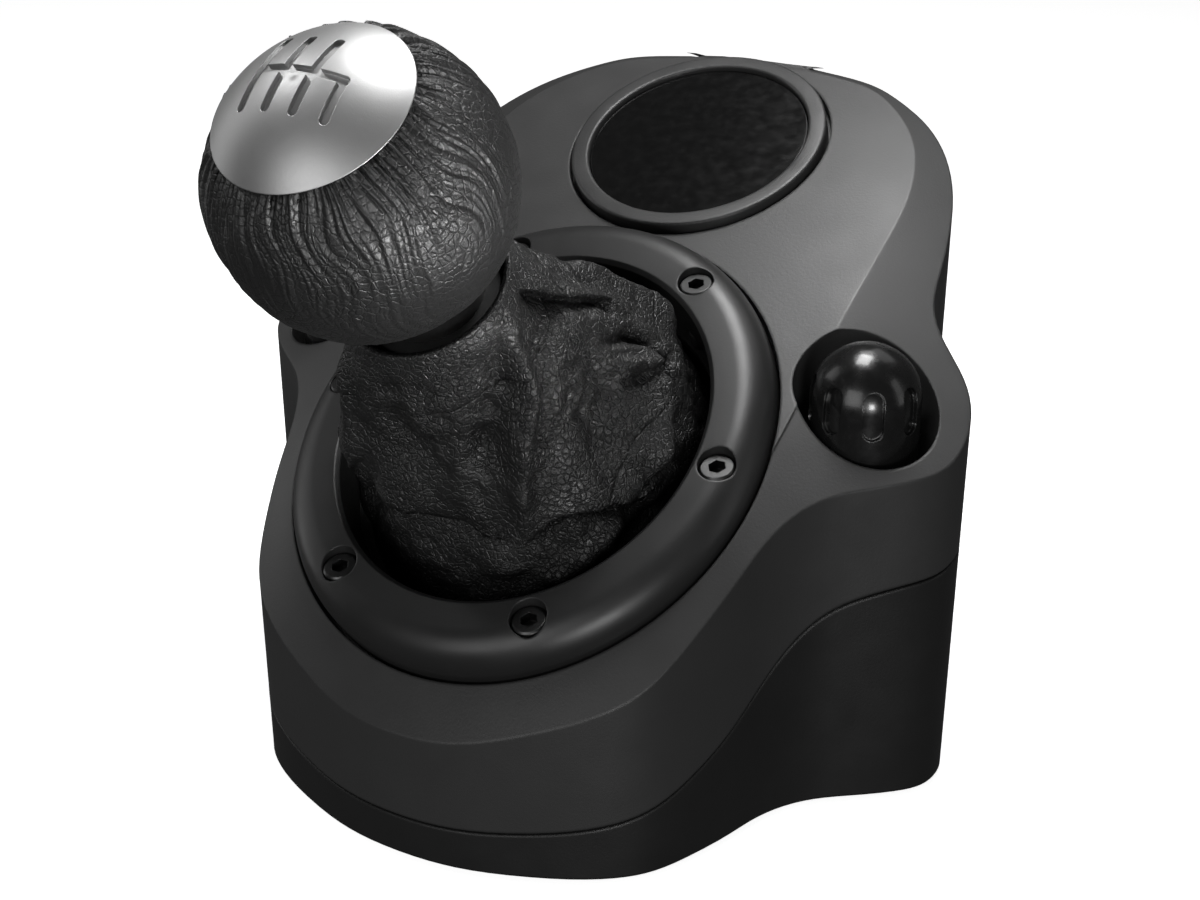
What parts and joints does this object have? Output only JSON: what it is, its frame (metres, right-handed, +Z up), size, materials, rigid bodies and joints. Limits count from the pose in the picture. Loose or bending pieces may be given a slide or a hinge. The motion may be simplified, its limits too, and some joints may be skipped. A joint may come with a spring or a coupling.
{
  "type": "sim racing gear shifter",
  "caption": "Desk-mounted racing gear shifter: black wedge housing, leather ball knob with metal shift-pattern cap, leather boot and table clamps.",
  "frame": {"origin": "centre of the bounding box's bottom, on the table plane under the rubber feet", "axes": "+X to the right as the driver sees it, -Y towards the driver, +Z up"},
  "size_m": [0.132, 0.1458, 0.1298],
  "materials": {
    "top_plastic": "satin",
    "lower_plastic": "satin",
    "ring_plastic": "gloss",
    "knob_plastic": "gloss",
    "badge_gloss": "gloss",
    "badge_rim_plastic": "satin",
    "ball_leather": "satin",
    "boot_leather": "matte",
    "cap_metal": "satin",
    "screw_steel": "satin",
    "plain_steel": "satin",
    "frame_metal": "matte",
    "foot_rubber": "matte",
    "bush_brass": "satin",
    "inner_plastic": "matte",
    "board_green": "satin"
  },
  "bodies": {
    "housing": {"top_shell": "top_plastic", "lower_shell": "lower_plastic", "base_plate": "lower_plastic", "rubber_feet": "foot_rubber", "case_screws": "screw_steel", "rig_inserts": "bush_brass", "steel_weight": "plain_steel", "circuit_board": "board_green", "board_parts": "inner_plastic", "cable_gland": "foot_rubber", "badge_rim": "badge_rim_plastic", "badge_disc": "badge_gloss", "badge_backing": "inner_plastic", "boot_ring": "ring_plastic", "ring_screws": "screw_steel", "boot_hem_frame": "inner_plastic", "shift_boot": "boot_leather", "mechanism_frame": "frame_metal", "frame_screws": "screw_steel", "gate_plate": "plain_steel", "select_sensor": "inner_plastic", "reverse_switch": "inner_plastic", "clamp_bush_left": "bush_brass", "clamp_bush_right": "bush_brass"},
    "yoke": {"gimbal_yoke": "plain_steel", "shift_sensor": "inner_plastic"},
    "block": {"pivot_block": "plain_steel"},
    "lever": {"lever_rod": "plain_steel", "rod_clip": "plain_steel", "spring_collar": "plain_steel", "push_spring": "plain_steel", "knob_core": "inner_plastic", "knob_leather": "ball_leather", "knob_cap": "cap_metal", "knob_nut": "plain_steel", "boot_collar": "inner_plastic", "boot_tie": "foot_rubber"},
    "clamp_screw_left": {"clamp_knob_left": "knob_plastic", "clamp_screw_left": "plain_steel"},
    "clamp_jaw_left": {"clamp_jaw_left": "inner_plastic", "clamp_pad_left": "foot_rubber"},
    "clamp_screw_right": {"clamp_knob_right": "knob_plastic", "clamp_screw_right": "plain_steel"},
    "clamp_jaw_right": {"clamp_jaw_right": "inner_plastic", "clamp_pad_right": "foot_rubber"}
  },
  "joints": [
    {"name": "lever_select", "type": "hinge", "parent": "housing", "child": "yoke", "pos_m": [0, 0.0027, 0.03655], "axis": [0, 0.7986, 0.6018], "range_deg": [-10, 10], "stiffness_Nm_per_rad": 0.6, "deforming": ["shift_boot"]},
    {"name": "lever_shift", "type": "hinge", "parent": "yoke", "child": "block", "pos_m": [0, 0.0027, 0.03655], "axis": [1, 0, 0], "range_deg": [-10, 10], "deforming": ["shift_boot"]},
    {"name": "lever_push", "type": "slide", "parent": "block", "child": "lever", "axis": [0, 0.6018, -0.7986], "range_m": [0, 0.004], "stiffness_N_per_m": 1800, "deforming": ["push_spring", "shift_boot"]},
    {"name": "clamp_lower_left", "type": "slide", "parent": "housing", "child": "clamp_jaw_left", "axis": [0, 0, -1], "range_m": [0, 0.026]},
    {"name": "clamp_turn_left", "type": "hinge", "parent": "housing", "child": "clamp_screw_left", "pos_m": [-0.05, 0.0086, 0.05], "axis": [0, 0, 1], "range_deg": [0, 3120]},
    {"name": "clamp_lower_right", "type": "slide", "parent": "housing", "child": "clamp_jaw_right", "axis": [0, 0, -1], "range_m": [0, 0.026]},
    {"name": "clamp_turn_right", "type": "hinge", "parent": "housing", "child": "clamp_screw_right", "pos_m": [0.05, 0.0086, 0.05], "axis": [0, 0, 1], "range_deg": [0, 3120]}
  ],
  "couplings": [
    {"joint": "clamp_turn_left", "follows": "clamp_lower_left", "rad_per_m": 2094.4},
    {"joint": "clamp_turn_right", "follows": "clamp_lower_right", "rad_per_m": 2094.4}
  ]
}
